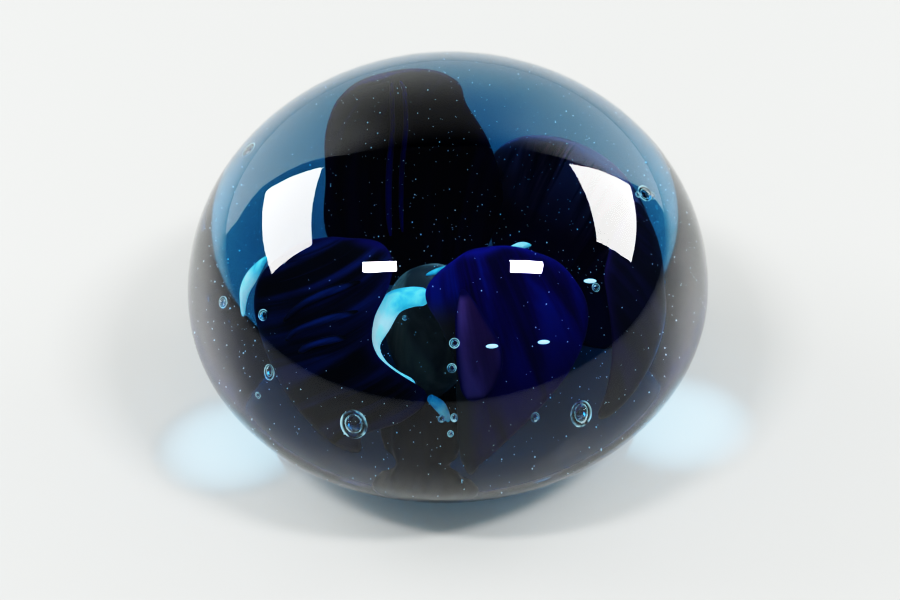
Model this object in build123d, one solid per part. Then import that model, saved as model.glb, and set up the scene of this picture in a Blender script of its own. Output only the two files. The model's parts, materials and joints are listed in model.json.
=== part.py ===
from build123d import *
import os
from math import asin, cos, pi, radians, sin, sqrt

# Art-glass paperweight: a squat body of clear aqua glass with a ground flat base,
# enclosing a dark blue glass flower, its streaks of colour and a few air bubbles.
# Millimetres, +Z up, origin at the centre of the flat base.
# Angles are in degrees, counter-clockwise from +X seen from above; the front is 270.

# --- clear body -------------------------------------------------------------
BODY_RADIUS = 44.5
BELT_HEIGHT = 24.9        # height of the widest part
DOME_RISE = 37.4          # belt to crown
UNDERSIDE_DROP = 28.9     # belt to the bottom of the full curve, cut off by the base
BASE_EDGE_ROUND = 0.8

# --- flower -----------------------------------------------------------------
CUP_HEIGHT = 28.0         # height at which the cup of petals is widest
PETAL_THICKNESS = 2.2
PETAL_EDGE = 0.7          # thickness left at a petal's side edge
STREAK_THICKNESS = 0.7
STREAK_EDGE = 0.3
CLEARANCE = 0.4           # clear glass between a streak and its petal
ROOT_OFFSET = -3.0        # the root stands a little to the left of the axis
ROOT_FOOT = 3.0           # clear glass under the root
ROOT_RADIUS = 5.0
ROOT_HEIGHT = 9.0

# Each petal follows a cup of revolution: `cup` is the radius at its widest, `rise`
# the distance over which the cup closes in above that height and `drop` below it.
# Rows give height, start angle and end angle of the petal at that height.
PETALS = {
    "petal_back_tall": dict(cup=25.5, rise=38.0, drop=22.0, rows=[
        (10, 76, 126), (15, 71, 131), (20, 76, 125), (25, 82.5, 123.5),
        (30, 84.5, 123), (35, 92, 122.5), (40, 103, 119)]),
    "petal_back_right": dict(cup=28.0, rise=25.0, drop=25.0, rows=[
        (7, 22, 66), (9.8, 12, 74), (12.6, 8, 77), (15.4, 7, 77.5), (17.5, 12, 75.5),
        (19.3, 20, 70), (21.2, 31, 61)]),
    "petal_side_right": dict(cup=30.0, rise=27.0, drop=25.0, rows=[
        (14, 317, 330), (18, 317.5, 343), (22, 318.5, 348), (26.5, 320, 349.5),
        (30, 321, 353.5), (34, 322.5, 357), (37, 325, 358), (39.5, 331, 352)]),
    "petal_front_right": dict(cup=27.0, rise=25.0, drop=25.0, rows=[
        (11, 272, 278), (16, 271, 288), (21, 271, 299), (26, 271, 311),
        (31, 271, 318), (36, 267, 318), (41, 262, 312), (45, 273, 297)]),
    "petal_front_left": dict(cup=27.0, rise=25.0, drop=25.0, rows=[
        (11, 221, 234), (16, 209, 239), (21, 201, 255), (26, 194, 262),
        (31, 194, 247), (36, 199, 244.5), (41, 208, 248), (45, 225, 248)]),
}

# Thin streaks laid against a petal: `lift` moves the streak outward (+) or
# inward (-) from the petal face it follows.
OUTSIDE = CLEARANCE + STREAK_THICKNESS
INSIDE = -(PETAL_THICKNESS + CLEARANCE)
STREAKS = {
    "cobalt_trail_left": dict(petal="petal_back_tall", lift=INSIDE, rows=[
        (14, 110, 112), (19, 106, 108), (24, 103.5, 105), (29, 103.5, 105),
        (34, 104.5, 106), (39, 106, 107.5)]),
    "cobalt_trail_right": dict(petal="petal_back_tall", lift=INSIDE, rows=[
        (14, 105.5, 107), (19, 102, 103.5), (24, 99.5, 101), (29, 99.5, 101),
        (34, 100.5, 102), (38, 102.5, 104)]),
    "violet_ribbon": dict(petal="petal_front_right", lift=OUTSIDE + CLEARANCE, rows=[
        (26, 273, 279), (29, 272, 283), (32, 271.5, 285), (35.5, 271.5, 284),
        (39, 272, 280.5), (42, 273.5, 277)]),
    "cobalt_feather_upper": dict(petal="petal_front_left", lift=OUTSIDE, rows=[
        (31, 213, 215), (34, 216.5, 219), (37, 221.5, 225), (40, 229.5, 234),
        (41.5, 236, 239.5)]),
    "cobalt_feather_middle": dict(petal="petal_front_left", lift=OUTSIDE, rows=[
        (28.5, 215, 217), (31, 218, 220.5), (33.5, 223, 227), (36, 230, 234.5),
        (38, 238, 241)]),
    "cobalt_feather_lower": dict(petal="petal_front_left", lift=OUTSIDE, rows=[
        (28, 220.5, 222.5), (30, 223.5, 226.5), (32, 228.5, 232.5), (34, 235, 239)]),
}

# Solid horns of coloured glass: angle, height and distance from the axis of each
# station along the horn, and its thickness there.
HORNS = {
    "aqua_crescent": [
        (262.5, 37.9, 20.3, 2.4), (255, 37.8, 20.5, 2.8), (248, 36.4, 21.0, 3.2),
        (244.5, 33.2, 21.8, 2.8), (242.5, 29.8, 22.3, 1.6), (245, 27.3, 22.3, 1.2),
        (250, 25.5, 22.2, 1.5), (257, 24.1, 22.0, 1.5)],
    "aqua_tail": [
        (261.5, 22.4, 21.7, 1.0), (265, 20.9, 21.3, 1.5), (267, 19.3, 20.9, 1.1),
        (268, 18.0, 20.3, 0.5)],
    "aqua_sliver": [
        (260, 38.9, 17.0, 0.4), (266, 39.8, 17.0, 0.8), (274, 40.4, 17.0, 0.7),
        (288, 40.6, 17.0, 0.5), (301, 41.0, 17.0, 0.7), (308, 40.6, 17.0, 1.0),
        (314, 39.5, 17.0, 0.4)],
    "aqua_edge": [
        (200.5, 38.0, 27.0, 0.5), (198.5, 35.6, 27.7, 1.4), (196.8, 33.0, 28.3, 2.0),
        (195.8, 30.6, 28.7, 1.7), (196.3, 28.4, 28.8, 1.0), (197.2, 26.6, 28.7, 0.5)],
}

# Smoky blob behind the aqua crescent.
CORE_ANGLE = 258
CORE_DISTANCE = 12.0
CORE_BOTTOM = 16.0
CORE_LENGTH = 18.5
CORE_RADIUS = 6.0

# Air bubbles: angle, height, distance from the axis and diameter.
BUBBLES = [
    (247, 27.5, 38.1, 4.2), (300, 25.4, 37.4, 3.4), (165, 47.6, 32.3, 3.0),
    (349, 45.6, 31.8, 2.8), (203, 34.8, 37.0, 1.8), (224, 30.8, 37.9, 1.8),
    (216, 36.4, 33.9, 1.7), (271, 39.3, 31.8, 1.5), (270, 36.3, 33.8, 1.4),
]


def spot(angle, height, distance):
    """Point at an angle round the axis, a height and a distance from the axis."""
    return Vector(distance * cos(radians(angle)), distance * sin(radians(angle)), height)


def body_curve(rise, start, end, steps):
    """Part of an ellipse about the belt, as a smooth curve; start and end are in radians."""
    turns = [start + (end - start) * step / steps for step in range(steps + 1)]
    points = [(BODY_RADIUS * cos(turn), BELT_HEIGHT + rise * sin(turn)) for turn in turns]
    headings = [(-BODY_RADIUS * sin(turn), rise * cos(turn)) for turn in (start, end)]
    return Spline(*points, tangents=headings)


def clear_body():
    """Two half-ellipses joined at the belt, cut flat at the base and rounded there."""
    under = body_curve(UNDERSIDE_DROP, -asin(BELT_HEIGHT / UNDERSIDE_DROP), 0, steps=6)
    dome = body_curve(DOME_RISE, 0, pi / 2, steps=8)
    axis = Line(dome @ 1, (0, 0))
    base = Line((0, 0), under @ 0)
    body = revolve(Plane.XZ * make_face([under, dome, axis, base]), Axis.Z)
    base_edge = body.edges().filter_by(GeomType.CIRCLE).sort_by(Axis.Z)[0]
    return fillet(base_edge, BASE_EDGE_ROUND)


def cup_radius(height, petal):
    """Radius of a petal's cup at a height."""
    reach = petal["rise"] if height > CUP_HEIGHT else petal["drop"]
    return petal["cup"] * sqrt(1 - ((height - CUP_HEIGHT) / reach) ** 2)


def leaf_section(height, start, end, radius, thickness, edge):
    """Level slice of a petal: thick in the middle and thinner at both side edges."""
    middle = (start + end) / 2
    outer = ThreePointArc(spot(start, height, radius), spot(middle, height, radius),
                          spot(end, height, radius))
    inner = ThreePointArc(spot(end, height, radius - edge),
                          spot(middle, height, radius - thickness),
                          spot(start, height, radius - edge))
    sides = [Line(outer @ 1, inner @ 0), Line(inner @ 1, outer @ 0)]
    return Face(Wire([outer, sides[0], inner, sides[1]]))


def leaf(petal, rows, thickness=PETAL_THICKNESS, edge=PETAL_EDGE, lift=0.0):
    """Loft a petal, or a streak on it, through its level slices."""
    return loft([leaf_section(height, start, end, cup_radius(height, petal) + lift,
                              thickness, edge) for height, start, end in rows])


def horn(stations):
    """Loft a tapering round horn through its stations."""
    centres = [spot(angle, height, distance) for angle, height, distance, _ in stations]
    spine = Spline(*centres)
    slices = []
    for centre, (_, _, _, width) in zip(centres, stations):
        heading = spine.tangent_at(spine.param_at_point(centre))
        slices.append(Plane(origin=centre, z_dir=heading) * Circle(width / 2))
    return loft(slices)


def egg(length, radius):
    """Blob standing on its narrow end, with its foot at the origin."""
    side = Spline((0, 0), (radius * 0.62, length * 0.14), (radius, length * 0.55),
                  (radius * 0.66, length * 0.9), (0, length), tangents=((1, 0), (-1, 0)))
    return revolve(Plane.XZ * make_face([side, Line(side @ 1, side @ 0)]), Axis.Z)


def root():
    """Low bell the petals spring from."""
    side = Spline((ROOT_RADIUS * 0.8, 0), (ROOT_RADIUS, ROOT_HEIGHT * 0.3),
                  (ROOT_RADIUS * 0.62, ROOT_HEIGHT * 0.78), (0, ROOT_HEIGHT),
                  tangents=((1, 0.6), (-1, 0)))
    axis = Line(side @ 1, (0, 0))
    foot = Line((0, 0), side @ 0)
    bell = revolve(Plane.XZ * make_face([side, axis, foot]), Axis.Z)
    return Pos(ROOT_OFFSET, 0, ROOT_FOOT) * bell


def flower_pieces():
    """Every coloured piece sealed in the clear body, by name."""
    pieces = {"flower_root": root()}
    for name, petal in PETALS.items():
        pieces[name] = leaf(petal, petal["rows"])
    for name, streak in STREAKS.items():
        pieces[name] = leaf(PETALS[streak["petal"]], streak["rows"],
                            STREAK_THICKNESS, STREAK_EDGE, streak["lift"])
    for name, stations in HORNS.items():
        pieces[name] = horn(stations)
    pieces["smoky_core"] = Pos(*spot(CORE_ANGLE, CORE_BOTTOM, CORE_DISTANCE)) * egg(
        CORE_LENGTH, CORE_RADIUS)
    return pieces


def build():
    """All pieces of the paperweight, by name."""
    pieces = flower_pieces()
    bubbles = [Pos(*spot(angle, height, distance)) * Sphere(diameter / 2)
               for angle, height, distance, diameter in BUBBLES]
    casing = clear_body() - [*pieces.values(), *bubbles]
    pieces["clear_casing"] = casing
    return pieces


os.makedirs("parts", exist_ok=True)
for name, piece in build().items():
    export_step(piece, f"parts/{name}.step")
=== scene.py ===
import json
import math
import random

import bpy
import numpy as np
from mathutils import Matrix, Vector


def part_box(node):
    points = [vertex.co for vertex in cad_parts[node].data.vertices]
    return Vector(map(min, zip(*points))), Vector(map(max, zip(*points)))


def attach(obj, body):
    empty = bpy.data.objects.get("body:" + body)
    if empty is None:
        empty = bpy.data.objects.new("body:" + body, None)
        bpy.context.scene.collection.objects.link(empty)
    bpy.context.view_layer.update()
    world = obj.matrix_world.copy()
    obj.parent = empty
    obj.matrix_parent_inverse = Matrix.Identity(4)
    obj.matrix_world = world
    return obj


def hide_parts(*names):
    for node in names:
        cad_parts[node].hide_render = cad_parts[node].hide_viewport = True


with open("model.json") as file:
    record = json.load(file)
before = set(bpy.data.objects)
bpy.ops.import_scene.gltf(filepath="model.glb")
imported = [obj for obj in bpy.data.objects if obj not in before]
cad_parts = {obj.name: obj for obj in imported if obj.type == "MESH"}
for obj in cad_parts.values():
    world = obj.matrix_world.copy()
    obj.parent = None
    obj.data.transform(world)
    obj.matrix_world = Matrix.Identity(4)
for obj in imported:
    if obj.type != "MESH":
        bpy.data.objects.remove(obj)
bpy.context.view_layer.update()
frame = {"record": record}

# Object: a squat art-glass paperweight standing on its ground flat base. A dark blue
# glass flower with brighter streaks is sealed in clear aqua glass with air bubbles.
MM = 0.001


# ---------------------------------------------------------------- dimensions, in mm
body_low, body_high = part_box("clear_casing")
BODY_RADIUS = (body_high.x - body_low.x) / 2 / MM
BODY_HEIGHT = (body_high.z - body_low.z) / MM
BELT_HEIGHT = 24.9
UNDERSIDE_DROP = 28.9
DOME_RISE = BODY_HEIGHT - BELT_HEIGHT
BASE_EDGE_ROUND = 0.8

CUP_HEIGHT = 28.0         # height at which the cup of petals is widest
PETAL_THICKNESS = 2.2
STREAK_THICKNESS = 0.7
CLEARANCE = 0.4           # clear glass between a streak and its petal

# Each petal follows a cup of revolution: its radius at the widest, and the distances over
# which it closes in above (rise) and below (drop). Rows: height, start angle, end angle.
# Angles are in degrees, counter-clockwise from +X; the front of the object is 270.
PETALS = {
    "petal_back_tall": dict(cup=25.5, rise=38.0, drop=22.0, rows=[
        (10, 76, 126), (15, 71, 131), (20, 76, 125), (25, 82.5, 123.5),
        (30, 84.5, 123), (35, 92, 122.5), (40, 103, 119)]),
    "petal_back_right": dict(cup=28.0, rise=25.0, drop=25.0, rows=[
        (7, 22, 66), (9.8, 12, 74), (12.6, 8, 77), (15.4, 7, 77.5), (17.5, 12, 75.5),
        (19.3, 20, 70), (21.2, 31, 61)]),
    "petal_side_right": dict(cup=30.0, rise=27.0, drop=25.0, rows=[
        (14, 317, 330), (18, 317.5, 343), (22, 318.5, 348), (26.5, 320, 349.5),
        (30, 321, 353.5), (34, 322.5, 357), (37, 325, 358), (39.5, 331, 352)]),
    "petal_front_right": dict(cup=27.0, rise=25.0, drop=25.0, rows=[
        (11, 272, 278), (16, 271, 288), (21, 271, 299), (26, 271, 311),
        (31, 271, 318), (36, 267, 318), (41, 262, 312), (45, 273, 297)]),
    "petal_front_left": dict(cup=27.0, rise=25.0, drop=25.0, rows=[
        (11, 221, 234), (16, 209, 239), (21, 201, 255), (26, 194, 262),
        (31, 194, 247), (36, 199, 244.5), (41, 208, 248), (45, 225, 248)]),
}
# A streak lies on a petal: `lift` moves it outward (+) or inward (-) from the petal's face.
OUTSIDE = CLEARANCE + STREAK_THICKNESS
INSIDE = -(PETAL_THICKNESS + CLEARANCE)
STREAKS = {
    "cobalt_trail_left": dict(petal="petal_back_tall", lift=INSIDE, rows=[
        (14, 110, 112), (19, 106, 108), (24, 103.5, 105), (29, 103.5, 105),
        (34, 104.5, 106), (39, 106, 107.5)]),
    "cobalt_trail_right": dict(petal="petal_back_tall", lift=INSIDE, rows=[
        (14, 105.5, 107), (19, 102, 103.5), (24, 99.5, 101), (29, 99.5, 101),
        (34, 100.5, 102), (38, 102.5, 104)]),
    "violet_ribbon": dict(petal="petal_front_right", lift=OUTSIDE + CLEARANCE, rows=[
        (26, 273, 279), (29, 272, 283), (32, 271.5, 285), (35.5, 271.5, 284),
        (39, 272, 280.5), (42, 273.5, 277)]),
    "cobalt_feather_upper": dict(petal="petal_front_left", lift=OUTSIDE, rows=[
        (31, 213, 215), (34, 216.5, 219), (37, 221.5, 225), (40, 229.5, 234),
        (41.5, 236, 239.5)]),
    "cobalt_feather_middle": dict(petal="petal_front_left", lift=OUTSIDE, rows=[
        (28.5, 215, 217), (31, 218, 220.5), (33.5, 223, 227), (36, 230, 234.5),
        (38, 238, 241)]),
    "cobalt_feather_lower": dict(petal="petal_front_left", lift=OUTSIDE, rows=[
        (28, 220.5, 222.5), (30, 223.5, 226.5), (32, 228.5, 232.5), (34, 235, 239)]),
}
# Stations along each horn: angle, height, distance from the axis, thickness.
HORNS = {
    "aqua_crescent": [
        (262.5, 37.9, 20.3, 2.4), (255, 37.8, 20.5, 2.8), (248, 36.4, 21.0, 3.2),
        (244.5, 33.2, 21.8, 2.8), (242.5, 29.8, 22.3, 1.6), (245, 27.3, 22.3, 1.2),
        (250, 25.5, 22.2, 1.5), (257, 24.1, 22.0, 1.5)],
    "aqua_tail": [
        (261.5, 22.4, 21.7, 1.0), (265, 20.9, 21.3, 1.5), (267, 19.3, 20.9, 1.1),
        (268, 18.0, 20.3, 0.5)],
    "aqua_sliver": [
        (260, 38.9, 17.0, 0.4), (266, 39.8, 17.0, 0.8), (274, 40.4, 17.0, 0.7),
        (288, 40.6, 17.0, 0.5), (301, 41.0, 17.0, 0.7), (308, 40.6, 17.0, 1.0),
        (314, 39.5, 17.0, 0.4)],
    "aqua_edge": [
        (200.5, 38.0, 27.0, 0.5), (198.5, 35.6, 27.7, 1.4), (196.8, 33.0, 28.3, 2.0),
        (195.8, 30.6, 28.7, 1.7), (196.3, 28.4, 28.8, 1.0), (197.2, 26.6, 28.7, 0.5)],
}
# Air bubbles: angle, height, distance from the axis, diameter, stretch upward.
BUBBLES = [
    (247, 27.5, 38.1, 4.2, 1.1), (300, 25.4, 37.4, 3.4, 1.3), (165, 47.6, 32.3, 3.0, 0.8),
    (349, 45.6, 31.8, 2.8, 0.9), (203, 34.8, 37.0, 1.8, 1.0), (224, 30.8, 37.9, 1.8, 1.5),
    (216, 36.4, 33.9, 1.7, 1.0), (271, 39.3, 31.8, 1.5, 1.0), (270, 36.3, 33.8, 1.4, 1.0),
    (267, 28.1, 35.0, 1.1, 1.0), (270, 28.2, 34.9, 1.0, 1.4), (269, 25.7, 35.4, 0.9, 1.2),
    (289, 26.9, 36.3, 1.3, 1.3), (314, 40.9, 31.5, 1.3, 1.0), (222, 26.5, 39.6, 1.0, 1.0),
    (257, 41.4, 28.9, 0.8, 1.0), (351, 44.2, 32.6, 1.3, 1.0), (346, 46.6, 31.0, 1.0, 1.0),
]
# Painted glints of the ceiling lamps, made as flat glowing bubbles: angle, height, distance,
# length.
LAMP_GLINTS = [(281, 37.6, 31.4, 1.8), (295, 36.4, 32.0, 1.8), (315, 40.5, 29.4, 2.0)]

# The "flow" attribute tells a material where a point lies on its petal: angle over
# FLOW_ANGLE, height over FLOW_HEIGHT and closeness to the rim. On a horn: share of its length.
FLOW_ANGLE = 60
FLOW_HEIGHT = 30


# ---------------------------------------------------------------- mesh helpers
def spot(angle, height, distance):
    """Point at an angle round the axis, a height and a distance from the axis."""
    turn = math.radians(angle)
    return (distance * math.cos(turn), distance * math.sin(turn), height)


def smooth_through(keys, values, at):
    """Smooth curve through (key, value) pairs, read at the given keys."""
    keys, values = np.asarray(keys, float), np.asarray(values, float)
    slopes = np.gradient(values, keys)
    spans = np.clip(np.searchsorted(keys, at, side="right") - 1, 0, len(keys) - 2)
    gap = keys[spans + 1] - keys[spans]
    t = (at - keys[spans]) / gap
    return ((2 * t**3 - 3 * t**2 + 1) * values[spans]
            + (t**3 - 2 * t**2 + t) * gap * slopes[spans]
            + (3 * t**2 - 2 * t**3) * values[spans + 1]
            + (t**3 - t**2) * gap * slopes[spans + 1])


def rings_to_mesh(rings, first_pole, last_pole):
    """Closed surface through equal rings of points, closed by a pole at each end."""
    count, around = len(rings), len(rings[0])
    vertices = [p for ring in rings for p in ring] + [first_pole, last_pole]
    faces = []
    for i in range(count - 1):
        for j in range(around):
            k = (j + 1) % around
            faces.append((i * around + j, i * around + k,
                          (i + 1) * around + k, (i + 1) * around + j))
    first, last = count * around, count * around + 1
    top = (count - 1) * around
    for j in range(around):
        k = (j + 1) % around
        faces.append((first, k, j))
        faces.append((last, top + j, top + k))
    return vertices, faces


def add_piece(name, vertices, faces, flow=None, *, slot, replaces=None):
    """Mesh in millimetres turned into a smooth piece riding on the paperweight."""
    mesh = bpy.data.meshes.new(name)
    mesh.from_pydata([[c * MM for c in v] for v in vertices], [], faces)
    if flow:
        attribute = mesh.attributes.new("flow", "FLOAT_VECTOR", "POINT")
        attribute.data.foreach_set("vector", np.array(flow, np.float32).ravel())
    mesh.shade_smooth()
    piece = bpy.data.objects.new(name, mesh)
    bpy.context.scene.collection.objects.link(piece)
    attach(piece, "root")
    if replaces:
        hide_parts(replaces)
    return piece


def cup_radius(height, petal):
    """Radius of a petal's cup at each height."""
    reach = np.where(height > CUP_HEIGHT, petal["rise"], petal["drop"])
    return petal["cup"] * np.sqrt(np.maximum(0.0, 1 - ((height - CUP_HEIGHT) / reach) ** 2))


def ripple(angle, height):
    """Soft waviness of the hand-worked petals, growing towards their rims, in mm."""
    turn = np.radians(angle)
    growth = np.clip((height - 14) / 30, 0, 1)
    wave = 0.55 * np.sin(7 * turn + 0.11 * height) + 0.3 * np.sin(17 * turn - 0.2 * height)
    return 0.45 * growth * wave


def leaf_mesh(petal, rows, thickness, lift=0.0, around=96, along=120):
    """Petal or streak: a flattened tube that follows its cup, rounded at every edge."""
    heights, starts, ends = np.array(rows, float).T
    low, high = heights[0], heights[-1]
    first_step = 0.06     # the levels crowd towards both ends; the poles close the rest
    steps = np.linspace(first_step, math.pi - first_step, along)
    levels = low + (high - low) * (1 - np.cos(steps)) / 2
    centre = smooth_through(heights, (starts + ends) / 2, levels)
    half = smooth_through(heights, (ends - starts) / 2, levels)
    rounded_length = min(2.2, 0.2 * (high - low))
    near_end = np.minimum(levels - low, high - levels) / rounded_length
    close = np.sqrt(1 - (1 - np.clip(near_end, 0, 1)) ** 2)
    end_width, end_thickness = 0.25, 0.2   # shares left at the very ends
    turn = np.linspace(0, 2 * math.pi, around, endpoint=False)
    rings, flow = [], []
    for level, middle, reach, shut in zip(levels, centre, half, close):
        angles = middle + reach * (end_width + (1 - end_width) * shut) * np.cos(turn)
        depth = thickness * (end_thickness + (1 - end_thickness) * shut)
        base = cup_radius(level, petal) + lift - thickness / 2 + ripple(angles, level)
        radii = base + depth / 2 * np.sin(turn)
        rings.append([spot(a, level, r) for a, r in zip(angles, radii)])
        rim = 1 - np.minimum(shut, np.sqrt(np.abs(np.sin(turn))))
        flow += [(a / FLOW_ANGLE, level / FLOW_HEIGHT, r) for a, r in zip(angles, rim)]
    poles = [tuple(np.mean(ring, axis=0)) for ring in (rings[0], rings[-1])]
    flow += [(centre[i] / FLOW_ANGLE, levels[i] / FLOW_HEIGHT, 1.0) for i in (0, -1)]
    return (*rings_to_mesh(rings, *poles), flow)


def horn_mesh(stations, around=40, along=160):
    """Tapering round horn through its stations, with domed ends."""
    table = np.array([(*spot(a, h, r), w) for a, h, r, w in stations])
    keys = np.arange(len(table))
    at = np.linspace(0, len(table) - 1, along)
    x, y, z, width = (smooth_through(keys, table[:, i], at) for i in range(4))
    path = np.stack([x, y, z], 1)
    heading = np.gradient(path, axis=0)
    heading /= np.linalg.norm(heading, axis=1, keepdims=True)
    outward = path * (1, 1, 0)
    side = np.cross(heading, outward)
    side /= np.linalg.norm(side, axis=1, keepdims=True)
    out = np.cross(side, heading)
    domed_length, blunt = 0.06, 0.02   # shares of the horn's length and of its thickness
    from_end = np.minimum(np.arange(along), along - 1 - np.arange(along)) / (domed_length * along)
    close = np.sqrt(1 - (1 - np.clip(from_end + blunt, 0, 1)) ** 2)
    turn = np.linspace(0, 2 * math.pi, around, endpoint=False)
    rings = [[tuple(p + w * c / 2 * (math.cos(t) * s + math.sin(t) * o)) for t in turn]
             for p, w, c, s, o in zip(path, width, close, side, out)]
    flow = [(i / along, j / around, 0) for i in range(along) for j in range(around)]
    flow += [(0, 0, 0), (1, 0, 0)]
    return (*rings_to_mesh(rings, tuple(path[0]), tuple(path[-1])), flow)


def lathe_mesh(profile, around, wobble=lambda turn, height: 1.0, shift=(0, 0, 0)):
    """Surface of revolution through (radius, height) points, from bottom to top."""
    turns = np.linspace(0, 2 * math.pi, around, endpoint=False)
    rings = [[(r * wobble(t, z) * math.cos(t) + shift[0],
               r * wobble(t, z) * math.sin(t) + shift[1], z + shift[2]) for t in turns]
             for r, z in profile[1:-1]]
    ends = [(shift[0], shift[1], profile[i][1] + shift[2]) for i in (0, -1)]
    return rings_to_mesh(rings, *ends)


def ball_mesh(centre, radius, around, stretch=1.0):
    """Sphere, or an egg stretched upward."""
    levels = np.linspace(-math.pi / 2, math.pi / 2, around // 2 + 1)
    profile = [(radius * math.cos(v), radius * stretch * math.sin(v)) for v in levels]
    return lathe_mesh(profile, around, shift=centre)


def join_meshes(parts):
    """One mesh of many separate ones."""
    vertices, faces = [], []
    for more_vertices, more_faces in parts:
        base = len(vertices)
        vertices += more_vertices
        faces += [tuple(base + i for i in face) for face in more_faces]
    return vertices, faces


# ---------------------------------------------------------------- clear body
def body_profile():
    """(radius, height) from the centre of the base, round the belt, to the crown."""
    cut = -math.asin(BELT_HEIGHT / UNDERSIDE_DROP)
    base_radius = BODY_RADIUS * math.cos(cut)
    flat = [(base_radius * s, 0.0) for s in np.linspace(0, 1, 12)[:-1]]
    flat = [p for p in flat if p[0] < base_radius - BASE_EDGE_ROUND]
    # The rounded base edge, measured from the corner it takes off.
    edge = [(-0.62, 0.0), (-0.2, 0.03), (0.16, 0.13), (0.5, 0.32)]
    rounding = [(base_radius + x, z) for x, z in edge]
    above_edge = 0.45
    under = [(BODY_RADIUS * math.cos(t), BELT_HEIGHT + UNDERSIDE_DROP * math.sin(t))
             for t in np.linspace(cut, 0, 48)[:-1]]
    under = [p for p in under if p[1] > above_edge]
    dome = [(BODY_RADIUS * math.cos(t), BELT_HEIGHT + DOME_RISE * math.sin(t))
            for t in np.linspace(0, math.pi / 2, 96)]
    return flat + rounding + under + dome


casing = add_piece("casing", *lathe_mesh(body_profile(), 256), slot="clear_glass",
                   replaces="clear_casing")
balls = [ball_mesh(spot(a, h, r), d / 2, around=40, stretch=s) for a, h, r, d, s in BUBBLES]
bubbles = add_piece("air_bubbles", *join_meshes(balls), slot="clear_glass")

# ---------------------------------------------------------------- flower
SLOTS = {row["node"]: row["material_slot"] for row in frame["record"]["subparts"]}
flower = {}


def add_flower_piece(node, mesh):
    """Fine mesh that takes the place of a CAD node."""
    flower[node] = add_piece("fine_" + node, *mesh, slot=SLOTS[node], replaces=node)


for node, petal in PETALS.items():
    add_flower_piece(node, leaf_mesh(petal, petal["rows"], PETAL_THICKNESS))
for node, streak in STREAKS.items():
    add_flower_piece(node, leaf_mesh(PETALS[streak["petal"]], streak["rows"],
                                     STREAK_THICKNESS, streak["lift"], around=40))
for node, stations in HORNS.items():
    add_flower_piece(node, horn_mesh(stations))

# The smoky blob is an egg with its thick end up, twisted into three soft lobes.
core_low, core_high = (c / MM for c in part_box("smoky_core"))
core_middle, core_size = (core_low + core_high) / 2, core_high - core_low
core_profile = [(core_size.x / 2 * math.cos(v) * (1 + 0.12 * math.sin(v)),
                 core_size.z / 2 * math.sin(v))
                for v in np.linspace(-math.pi / 2, math.pi / 2, 49)]
add_flower_piece("smoky_core", lathe_mesh(
    core_profile, 72, lambda t, z: 1 - 0.06 * (1 + math.sin(3 * t + 0.3 * z)),
    tuple(core_middle)))

# The root is a low bell with nine flutes; its profile is in shares of its radius and height.
root_low, root_high = (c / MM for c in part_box("flower_root"))
root_size, root_middle = root_high - root_low, (root_low + root_high) / 2
root_profile = [(root_size.x / 2 * r, root_size.z * z) for r, z in [
    (0, 0), (0.4, 0), (0.75, 0.01), (0.88, 0.06), (0.97, 0.18), (1, 0.3), (0.96, 0.45),
    (0.83, 0.62), (0.62, 0.78), (0.38, 0.9), (0.18, 0.97), (0.07, 0.99), (0, 1)]]
add_flower_piece("flower_root", lathe_mesh(
    root_profile, 120, lambda t, z: 1 - 0.04 * (1 + math.sin(9 * t)),
    (root_middle.x, root_middle.y, root_low.z)))

# ---------------------------------------------------------------- seed bubbles
SEED_COUNT = 1500
SEED_RADIUS, SEED_RADIUS_SPREAD = 0.03, 0.048
CLOUD_RADIUS, CLOUD_MIDDLE, CLOUD_RISE, CLOUD_DROP = 38, 26, 31, 24
CLOUD_FOOT = -0.72        # no seeds below this share of the drop
dice = random.Random(41)
seeds = []
while len(seeds) < SEED_COUNT:
    x, y, z = (dice.uniform(-1, 1) for _ in range(3))
    if x * x + y * y + z * z > 1 or z < CLOUD_FOOT:
        continue
    radius = SEED_RADIUS + SEED_RADIUS_SPREAD * dice.random() ** 4
    height = CLOUD_MIDDLE + z * (CLOUD_RISE if z > 0 else CLOUD_DROP)
    seeds.append(ball_mesh((x * CLOUD_RADIUS, y * CLOUD_RADIUS, height), radius, around=8))
# The flat bubbles are painted glints of the lamps; these give their height and depth over their
# length.
GLINT_STRETCH, GLINT_DEPTH = 0.4, 0.15   # height and depth of a flat bubble over its length
# Painted lamp glints, shaped as flat bubbles among the seeds.
for a, h, r, length in LAMP_GLINTS:
    vertices, faces = ball_mesh((0, 0, 0), length / 2, around=24, stretch=GLINT_STRETCH)
    x, y, z = spot(a, h, r)
    seeds.append(([(x + dx, y + GLINT_DEPTH * dy, z + dz) for dx, dy, dz in vertices], faces))
seed_piece = add_piece("seed_bubbles", *join_meshes(seeds), slot="clear_glass")


# ---------------------------------------------------------------- materials
GLASS_IOR = 1.5
SEALED_IOR = 1.06         # of coloured glass against clear glass: hardly any reflection
GROUND_BELOW, POLISHED_ABOVE = 0.1 * MM, 0.2 * MM

# A Mix node's pair of inputs and its output, for plain values and for colours.
VALUE_PAIR, VALUE_RESULT = slice(2, 4), 0
COLOUR_PAIR, COLOUR_RESULT = slice(6, 8), 2


def new_material(name):
    material = bpy.data.materials.new(name)
    material.use_nodes = True
    tree = material.node_tree
    return material, tree, tree.nodes["Principled BSDF"]


def link(tree, a, b):
    tree.links.new(a, b)


def object_place(tree):
    """Place of a point in the object's own coordinates, in metres."""
    return tree.nodes.new("ShaderNodeTexCoord").outputs["Object"]


def separate(tree, vector):
    """X, Y and Z of a vector."""
    node = tree.nodes.new("ShaderNodeSeparateXYZ")
    link(tree, vector, node.inputs[0])
    return node.outputs


def flow_of(tree):
    """The flow attribute, as a vector and as its three parts."""
    node = tree.nodes.new("ShaderNodeAttribute")
    node.attribute_name = "flow"
    return node.outputs["Vector"], separate(tree, node.outputs["Vector"])


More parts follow.
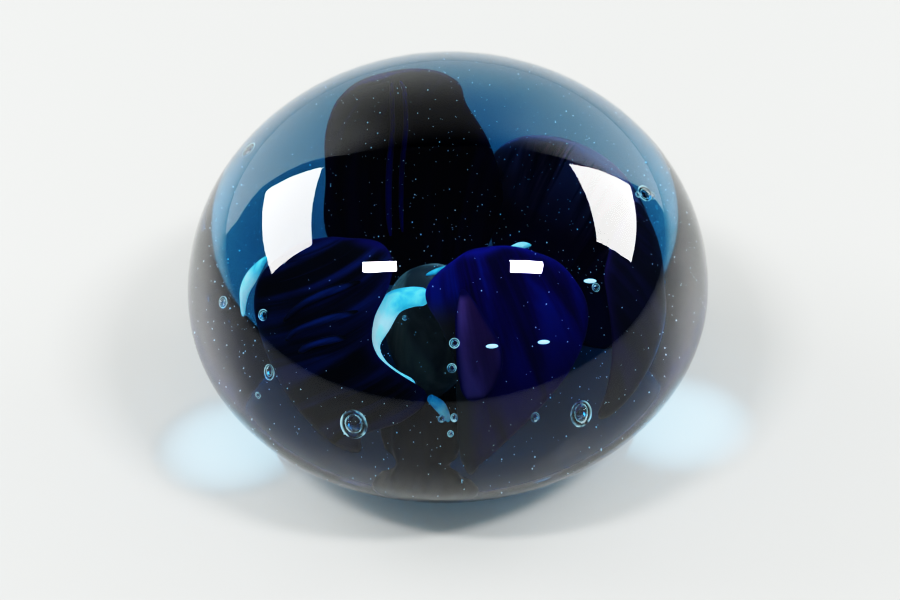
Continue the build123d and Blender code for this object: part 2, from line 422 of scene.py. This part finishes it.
def remap(tree, value, from_range, to_range):
    """Straight line from one range to another, held at both ends."""
    node = tree.nodes.new("ShaderNodeMapRange")
    for socket, number in zip(("From Min", "From Max", "To Min", "To Max"),
                              (*from_range, *to_range)):
        node.inputs[socket].default_value = number
    link(tree, value, node.inputs["Value"])
    return node.outputs[0]


def noise(tree, vector, scale, detail, distortion, shift=(0, 0, 0)):
    """Cloudy value from 0 to 1, drawn out by a scale along each direction."""
    mapping = tree.nodes.new("ShaderNodeMapping")
    mapping.inputs["Scale"].default_value = scale
    mapping.inputs["Location"].default_value = shift
    texture = tree.nodes.new("ShaderNodeTexNoise")
    texture.inputs["Scale"].default_value = 1.0
    texture.inputs["Detail"].default_value = detail
    texture.inputs["Distortion"].default_value = distortion
    link(tree, vector, mapping.inputs["Vector"])
    link(tree, mapping.outputs[0], texture.inputs["Vector"])
    return texture.outputs["Fac"]


def ramp(tree, factor, low, high):
    """Smooth step from 0 at low to 1 at high."""
    node = tree.nodes.new("ShaderNodeMapRange")
    node.interpolation_type = "SMOOTHSTEP"
    node.inputs["From Min"].default_value = low
    node.inputs["From Max"].default_value = high
    link(tree, factor, node.inputs["Value"])
    return node.outputs[0]


def times(tree, a, b):
    """Product of two sockets."""
    node = tree.nodes.new("ShaderNodeMath")
    node.operation = "MULTIPLY"
    link(tree, a, node.inputs[0])
    link(tree, b, node.inputs[1])
    return node.outputs[0]


def blend(tree, factor, a, b):
    """Mix of two colours, each given as a colour or as a socket."""
    node = tree.nodes.new("ShaderNodeMix")
    node.data_type = "RGBA"
    link(tree, factor, node.inputs[0])
    for socket, colour in zip(node.inputs[COLOUR_PAIR], (a, b)):
        if isinstance(colour, tuple):
            socket.default_value = (*colour, 1)
        else:
            link(tree, colour, socket)
    return node.outputs[COLOUR_RESULT]


def choose(tree, factor, a, b):
    """Mix of two values, each given as a number or as a socket."""
    node = tree.nodes.new("ShaderNodeMix")
    link(tree, factor, node.inputs[0])
    for socket, value in zip(node.inputs[VALUE_PAIR], (a, b)):
        if isinstance(value, (int, float)):
            socket.default_value = value
        else:
            link(tree, value, socket)
    return node.outputs[VALUE_RESULT]


def leaning(tree, flow, height, slope):
    """Flow coordinates sheared so that streaks drawn along them climb at a slope."""
    sideways = tree.nodes.new("ShaderNodeCombineXYZ")
    link(tree, height, sideways.inputs["X"])
    lean = tree.nodes.new("ShaderNodeVectorMath")
    lean.operation = "MULTIPLY_ADD"
    lean.inputs[1].default_value = (slope, 0, 0)
    link(tree, sideways.outputs[0], lean.inputs[0])
    link(tree, flow, lean.inputs[2])
    return lean.outputs[0]


def clear_glass(name, colour, density, base_roughness):
    """Clear glass, coloured by the length of glass that light crosses, with a ground base."""
    material, tree, bsdf = new_material(name)
    bsdf.inputs["Transmission Weight"].default_value = 1.0
    bsdf.inputs["IOR"].default_value = GLASS_IOR
    bsdf.inputs["Base Color"].default_value = (1, 1, 1, 1)
    height = separate(tree, object_place(tree))["Z"]
    ground = remap(tree, height, (GROUND_BELOW, POLISHED_ABOVE), (base_roughness, 0.0))
    link(tree, ground, bsdf.inputs["Roughness"])
    volume = tree.nodes.new("ShaderNodeVolumeAbsorption")
    volume.inputs["Color"].default_value = (*colour, 1)
    volume.inputs["Density"].default_value = density
    link(tree, volume.outputs[0], tree.nodes["Material Output"].inputs["Volume"])
    return material


def painted_glint(name, colour, strength):
    """Tiny bubble with a painted glint: it glows with light of its own."""
    material, _, bsdf = new_material(name)
    bsdf.inputs["Base Color"].default_value = (*colour, 1)
    bsdf.inputs["Roughness"].default_value = 0.3
    bsdf.inputs["Emission Color"].default_value = (*colour, 1)
    bsdf.inputs["Emission Strength"].default_value = strength
    return material


def bubble_glass_painted_rim(name):
    """Air in glass: clear in the middle, with a painted highlight glowing patchily on its rim."""
    material, tree, bsdf = new_material(name)
    bsdf.inputs["Transmission Weight"].default_value = 1.0
    bsdf.inputs["Roughness"].default_value = 0.0
    bsdf.inputs["IOR"].default_value = 1 / GLASS_IOR
    weight = tree.nodes.new("ShaderNodeLayerWeight")
    weight.inputs["Blend"].default_value = 0.5
    cloud = noise(tree, object_place(tree), (420, 420, 420), 2.0, 0.6)
    patchy = ramp(tree, cloud, 0.35, 0.6)
    # Painted highlight: the rim glows aqua where the bubble is seen edge-on.
    rim = times(tree, ramp(tree, weight.outputs["Facing"], 0.35, 0.8), patchy)
    bsdf.inputs["Emission Color"].default_value = (0.6, 0.95, 1.0, 1)
    link(tree, rim, bsdf.inputs["Emission Strength"])
    return material


def glass_inclusion(name):
    """Material of a piece sealed in the clear glass."""
    material, tree, bsdf = new_material(name)
    bsdf.inputs["Roughness"].default_value = 0.35
    bsdf.inputs["IOR"].default_value = SEALED_IOR
    return material, tree, bsdf


def aqua_painted_glow(name, strength):
    """Aqua streak that glows with painted light: brightest in the bend, dimmer at both ends."""
    material, tree, bsdf = glass_inclusion(name)
    along = flow_of(tree)[1]["X"]
    veins = ramp(tree, noise(tree, object_place(tree), (260, 260, 160), 4.0, 1.2), 0.35, 0.65)
    bend = times(tree, ramp(tree, along, 0.2, 0.45), ramp(tree, along, 1.1, 0.8))
    dim = blend(tree, veins, (0.1, 0.5, 0.65), (0.3, 0.8, 0.95))
    bright = blend(tree, veins, (0.6, 1.0, 1.0), (1.0, 1.0, 1.0))
    colour = blend(tree, bend, dim, bright)
    link(tree, colour, bsdf.inputs["Base Color"])
    link(tree, colour, bsdf.inputs["Emission Color"])
    # Emission paints the light that shows through the glass here; the streak is no lamp.
    bsdf.inputs["Emission Strength"].default_value = strength
    return material


# Brownish tint at the left foot of a petal: where it ends and where it is full.
FOOT_ANGLES = (280, 272)
FOOT_HEIGHTS = (41, 36)


def petal_glass(name, dark, mid, bright, rim, seed, slope=0.4, fade=(0.3, 1.3), width=7.0,
                threshold=0.52, edge=(0.15, 0.75), foot_tint=None):
    """Dark glass drawn out into streaks along the petal, with a painted highlight towards its
    rim.

    The streaks brighten between the two heights of `fade` (over FLOW_HEIGHT). `slope` leans
    them, `width` sets how many there are, `threshold` how rare the bright ones are, `edge`
    where the rim colour, a painted highlight on petals, begins and is full, and the last
    argument a colour for the petal's left foot.
    """
    material, tree, bsdf = glass_inclusion(name)
    flow, (angle, height, to_rim) = flow_of(tree)
    grain = leaning(tree, flow, height, slope)
    streaks = noise(tree, grain, (width, 0.9, 0), 5.0, 0.5, (seed, 0, 0))
    fine = noise(tree, grain, (width * 4, 1.6, 0), 3.0, 0.8, (seed, 3, 0))
    upward = ramp(tree, height, *fade)
    colour = blend(tree, ramp(tree, streaks, threshold - 0.12, threshold + 0.06), dark, mid)
    strong = times(tree, upward, ramp(tree, streaks, threshold - 0.02, threshold + 0.12))
    colour = blend(tree, strong, colour, bright)
    threads = times(tree, upward, ramp(tree, fine, 0.58, 0.7))
    colour = blend(tree, threads, colour, mid)
    # Painted highlight along the rim of the petals; on the streaks the rim colour is darker.
    rim_highlight_and_edge = times(tree, upward, ramp(tree, to_rim, *edge))
    colour = blend(tree, rim_highlight_and_edge, colour, rim)
    if foot_tint:
        foot = times(tree, ramp(tree, angle, *(a / FLOW_ANGLE for a in FOOT_ANGLES)),
                     ramp(tree, height, *(h / FLOW_HEIGHT for h in FOOT_HEIGHTS)))
        colour = blend(tree, foot, colour, foot_tint)
    link(tree, colour, bsdf.inputs["Base Color"])
    return material


def swirled_glass(name, dark, bright, scale, low=0.4, high=0.62):
    """Inclusion with soft cloudy veins of a second colour."""
    material, tree, bsdf = glass_inclusion(name)
    veins = noise(tree, object_place(tree), scale, 5.0, 0.9)
    colour = blend(tree, ramp(tree, veins, low, high), dark, bright)
    link(tree, colour, bsdf.inputs["Base Color"])
    return material


# Colours of each petal and streak: dark glass, middle, bright streaks, rim (a painted highlight
# on the petals, a darker edge on the streaks); then its seed.
BLACK = (0.002, 0.003, 0.008)
COBALT = petal_glass(
    "cobalt_streak", (0.003, 0.006, 0.025), (0.006, 0.014, 0.065), (0.01, 0.028, 0.12), BLACK,
    9.4, slope=-1.25, fade=(0.0, 0.6), width=8.0, threshold=0.46, edge=(0.06, 0.45))
VIOLET_TRAIL = petal_glass(
    "violet_trail", (0.008, 0.005, 0.06), (0.012, 0.008, 0.1), (0.03, 0.02, 0.18),
    (0.008, 0.005, 0.05), 6.1, slope=0.0, fade=(0.5, 1.2), width=3.0, threshold=0.42)
DIM_AQUA_GLOW = aqua_painted_glow("dim_aqua_painted_glow", 0.08)
MATERIALS = {
    "petal_back_tall": petal_glass(
        "black_petal", BLACK, (0.003, 0.004, 0.016), (0.005, 0.005, 0.04),
        (0.012, 0.007, 0.06), 1.3, threshold=0.56),
    # Its bright upper streaks and rim: a painted purple-brown sheen near its top.
    "petal_back_right": petal_glass(
        "violet_petal", (0.003, 0.003, 0.012), (0.006, 0.004, 0.024), (0.34, 0.1, 0.15),
        (0.5, 0.18, 0.24), 4.1, fade=(0.4, 0.66), threshold=0.4),
    "petal_side_right": petal_glass(
        "teal_black_petal", (0.01, 0.007, 0.016), (0.014, 0.009, 0.028),
        (0.022, 0.011, 0.048), (0.03, 0.011, 0.062), 7.7),
    "petal_front_right": petal_glass(
        "cobalt_petal", (0.006, 0.003, 0.03), (0.01, 0.003, 0.075), (0.008, 0.014, 0.13),
        (0.015, 0.012, 0.15), 2.2, slope=0.15, fade=(0.8, 1.45), width=6.0, threshold=0.47,
        foot_tint=(0.05, 0.03, 0.03)),
    "petal_front_left": petal_glass(
        "blue_black_petal", BLACK, (0.005, 0.008, 0.036), (0.01, 0.018, 0.09),
        (0.012, 0.008, 0.07), 5.5, slope=-1.25, width=8.0, threshold=0.53),
    "flower_root": swirled_glass(
        "root_black", (0.008, 0.007, 0.007), (0.02, 0.02, 0.03), (90, 90, 40)),
    "smoky_core": swirled_glass(
        "smoky", (0.18, 0.08, 0.07), (0.9, 0.42, 0.3), (150, 150, 60), 0.36, 0.68),
    "violet_ribbon": petal_glass(
        "violet_streak", (0.05, 0.015, 0.06), (0.09, 0.03, 0.1), (0.13, 0.05, 0.15),
        (0.01, 0.004, 0.06), 3.6, slope=0.1, fade=(0.0, 0.5), width=5.0, threshold=0.4,
        edge=(0.06, 0.45)),
    # The aqua pieces glow with painted light, strongest on the crescent.
    "aqua_crescent": aqua_painted_glow("bright_aqua_painted_glow", 0.65),
    "aqua_edge": aqua_painted_glow("edge_aqua_painted_glow", 0.3),
    "aqua_tail": DIM_AQUA_GLOW,
    "aqua_sliver": DIM_AQUA_GLOW,
    "cobalt_trail_left": VIOLET_TRAIL,
    "cobalt_trail_right": VIOLET_TRAIL,
    "cobalt_feather_upper": COBALT,
    "cobalt_feather_middle": COBALT,
    "cobalt_feather_lower": COBALT,
}
for node, piece in flower.items():
    piece.data.materials.append(MATERIALS[node])

casing.data.materials.append(
    clear_glass("clear_aqua_glass", (0.0, 0.56, 0.76), density=50.0, base_roughness=0.3))
bubbles.data.materials.append(bubble_glass_painted_rim("bubble_film_painted_rim"))
# Seed bubbles and flat bubbles glow: painted glints on top of their lit colour.
seed_piece.data.materials.append(painted_glint("seed_bubble_painted_glint", (0.65, 0.88, 1.0), 0.8))


# ---------------------------------------------------------------- studio
def direction(azimuth, elevation):
    """Unit vector; azimuth from +Y (behind the object) towards +X, elevation above level."""
    a, e = math.radians(azimuth), math.radians(elevation)
    return Vector((math.sin(a) * math.cos(e), math.cos(a) * math.cos(e), math.sin(e)))


def stage_mesh(name, vertices, faces, material):
    """Flat piece of the studio, in metres."""
    mesh = bpy.data.meshes.new(name)
    mesh.from_pydata(vertices, [], faces)
    thing = bpy.data.objects.new(name, mesh)
    bpy.context.scene.collection.objects.link(thing)
    thing.data.materials.append(material)


def table_top(name, colour):
    """Slightly glossy paint."""
    material, _, bsdf = new_material(name)
    bsdf.inputs["Base Color"].default_value = (*colour, 1)
    bsdf.inputs["Roughness"].default_value = 0.42
    return material


def emitter(name, colour):
    """Material that only sends out light."""
    material, tree, bsdf = new_material(name)
    bsdf.inputs["Base Color"].default_value = (0, 0, 0, 1)
    bsdf.inputs["Specular IOR Level"].default_value = 0
    bsdf.inputs["Emission Color"].default_value = (*colour, 1)
    return material, tree, bsdf


def glowing(name, colour, strength, on_table):
    """Lamp that lights matt surfaces directly with another strength than it shows."""
    material, tree, bsdf = emitter(name, colour)
    rays = tree.nodes.new("ShaderNodeLightPath").outputs
    level = choose(tree, rays["Is Diffuse Ray"], strength, on_table)
    link(tree, level, bsdf.inputs["Emission Strength"])
    return material


def lit_paper(name, middle, side):
    """Backdrop lit more strongly towards both sides, and fading out towards its top."""
    material, tree, bsdf = emitter(name, (0.97, 1.0, 0.985))
    across, _, height = separate(tree, object_place(tree))
    absolute = tree.nodes.new("ShaderNodeMath")
    absolute.operation = "ABSOLUTE"
    link(tree, across, absolute.inputs[0])
    aside = absolute.outputs[0]
    level = remap(tree, aside, (0.35, 1.2), (middle, side))
    # The upper middle is half as bright.
    central = times(tree, ramp(tree, height, 0.3, 1.0), ramp(tree, aside, 0.6, 0.15))
    shade = remap(tree, central, (0.0, 1.0), (1.0, 0.5))
    fade = times(tree, shade, ramp(tree, height, 1.75, 0.95))
    link(tree, times(tree, level, fade), bsdf.inputs["Emission Strength"])
    return material


# Pale table and a hung paper backdrop behind it, in metres.
FLOOR_HALF = 3.2
AIR_GAP = 0.0001          # between the table and the object's base
BACKDROP_AT = 1.1
BACKDROP_OUTLINE = [
    (-1.6, 0.0), (-1.6, 0.22), (-1.28, 0.47), (-1.0, 1.0), (-0.85, 1.35), (-0.4, 1.75),
    (0.1, 1.9), (0.6, 1.75), (1.05, 1.45), (1.28, 1.22), (1.42, 1.03), (1.46, 0.7),
    (1.45, 0.35), (1.47, 0.12), (1.56, 0.0)]
stage_mesh("floor", [(x * FLOOR_HALF, y * FLOOR_HALF, -AIR_GAP)
                     for x, y in ((-1, -1), (1, -1), (1, 1), (-1, 1))],
           [(0, 1, 2, 3)], table_top("table", (0.206, 0.212, 0.21)))
stage_mesh("backdrop", [(x, BACKDROP_AT, z) for x, z in BACKDROP_OUTLINE],
           [tuple(range(len(BACKDROP_OUTLINE)))], lit_paper("lit_paper", 0.74, 1.7))

# Lamps round the object, seen from LOOK_AT: distance in metres, the strength they show,
# the strength with which they light matt surfaces, and the azimuth and elevation of corners.
LOOK_AT = Vector((0, 0, 30 * MM))
LAMP_COLOUR = (1.0, 0.99, 0.97)
LAMPS = {
    "softbox_left": (0.95, 18, 9, [(-46, 39.5), (-88, 41.5), (-87, 21), (-52, 19)]),
    "softbox_right": (0.95, 18, 9, [(50.5, 39), (88, 33.5), (86, 16), (55, 16)]),
    "ceiling_lamp_left": (1.8, 200, 200, [(-116, 55), (-134.5, 63.5), (-140, 60), (-121, 52)]),
    "ceiling_lamp_right": (1.8, 200, 200, [(129, 59), (114.5, 49), (121, 46.5), (135, 55)]),
}
for name, (distance, strength, on_table, corners) in LAMPS.items():
    rays = [direction(*corner) for corner in corners]
    towards = sum(rays, Vector()).normalized()
    points = [LOOK_AT + ray * distance / ray.dot(towards) for ray in rays]
    stage_mesh(name, points, [tuple(range(len(points)))],
               glowing(name + "_glow", LAMP_COLOUR, strength, on_table))

# Aqua light that the glass throws on the table at both sides of the base.
GLOW_COLOUR = (0.3, 0.7, 1.0)
GLOW_STRENGTH = 4.0
GLOW_CONE = 7.8           # degrees
GLOW_AZIMUTH = 106
GLOW_ELEVATION = 65
GLOW_DISTANCE = 0.2       # metres from the lamp to the table
GLOW_REACH = BODY_RADIUS * MM * 0.92     # from the axis to where the light lands
for name, azimuth in (("glow_left", -GLOW_AZIMUTH), ("glow_right", GLOW_AZIMUTH)):
    lamp = bpy.data.lights.new(name, "SPOT")
    lamp.energy, lamp.color = GLOW_STRENGTH, GLOW_COLOUR
    lamp.spot_size, lamp.spot_blend, lamp.shadow_soft_size = math.radians(GLOW_CONE), 1.0, 0.0
    holder = bpy.data.objects.new(name, lamp)
    aim = direction(azimuth, 0) * GLOW_REACH
    holder.location = aim + direction(azimuth, GLOW_ELEVATION) * GLOW_DISTANCE
    holder.rotation_euler = (aim - holder.location).to_track_quat("-Z", "Y").to_euler()
    holder.visible_glossy = False
    bpy.context.scene.collection.objects.link(holder)

# The room: nearly dark in the glass, a soft fill for matt surfaces, pale behind everything.
ROOM, FILL, BEHIND = 0.03, 1.75, 0.86
world = bpy.data.worlds.new("room")
bpy.context.scene.world = world
world.use_nodes = True
tree = world.node_tree
background = tree.nodes["Background"]
rays = tree.nodes.new("ShaderNodeLightPath").outputs
room_level = choose(tree, rays["Is Diffuse Ray"], ROOM, FILL)
seen_level = choose(tree, rays["Is Camera Ray"], room_level, BEHIND)
link(tree, seen_level, background.inputs["Strength"])
background.inputs["Color"].default_value = (0.98, 1.0, 0.99, 1)

# ---------------------------------------------------------------- camera
CAMERA_ELEVATION = 40.0
CAMERA_DISTANCE = 0.36775
CAMERA_ROLL = -2.71
CAMERA_TARGET = Vector((0, 0, 0.02114))
SIDE_SHIFT = 1.5 / 900    # 1.5 pixels of a picture 900 wide
back = direction(180, CAMERA_ELEVATION)
right = Vector((1, 0, 0))
up = back.cross(right)
roll = math.radians(CAMERA_ROLL)
axes = (right * math.cos(roll) + up * math.sin(roll),
        up * math.cos(roll) - right * math.sin(roll), back)
camera_data = bpy.data.cameras.new("camera")
camera_data.lens = 85
camera_data.sensor_width = 36
camera_data.shift_x = SIDE_SHIFT
camera_data.clip_start = 0.01
camera_data.clip_end = 20
camera = bpy.data.objects.new("camera", camera_data)
turned = Matrix(axes).transposed().to_4x4()
turned.translation = CAMERA_TARGET + back * CAMERA_DISTANCE
camera.matrix_world = turned
bpy.context.scene.collection.objects.link(camera)
bpy.context.scene.camera = camera

# The soft contrast of a camera picture: (scene light, picture light).
TONE_CURVE = [(0.02, 0.009), (0.05, 0.031), (0.1, 0.09), (0.2, 0.245), (0.35, 0.44),
              (0.6, 0.71), (0.85, 0.88)]
TONE_END = (1.0, 0.95)
COMBINED_CURVE = 3        # the one that acts on all channels together
view = bpy.context.scene.view_settings
view.view_transform = "Standard"
view.look = "None"
view.use_curve_mapping = True
tone = view.curve_mapping.curves[COMBINED_CURVE]
tone.points[-1].location = TONE_END
for light, shown in TONE_CURVE:
    tone.points.new(light, shown)
view.curve_mapping.update()
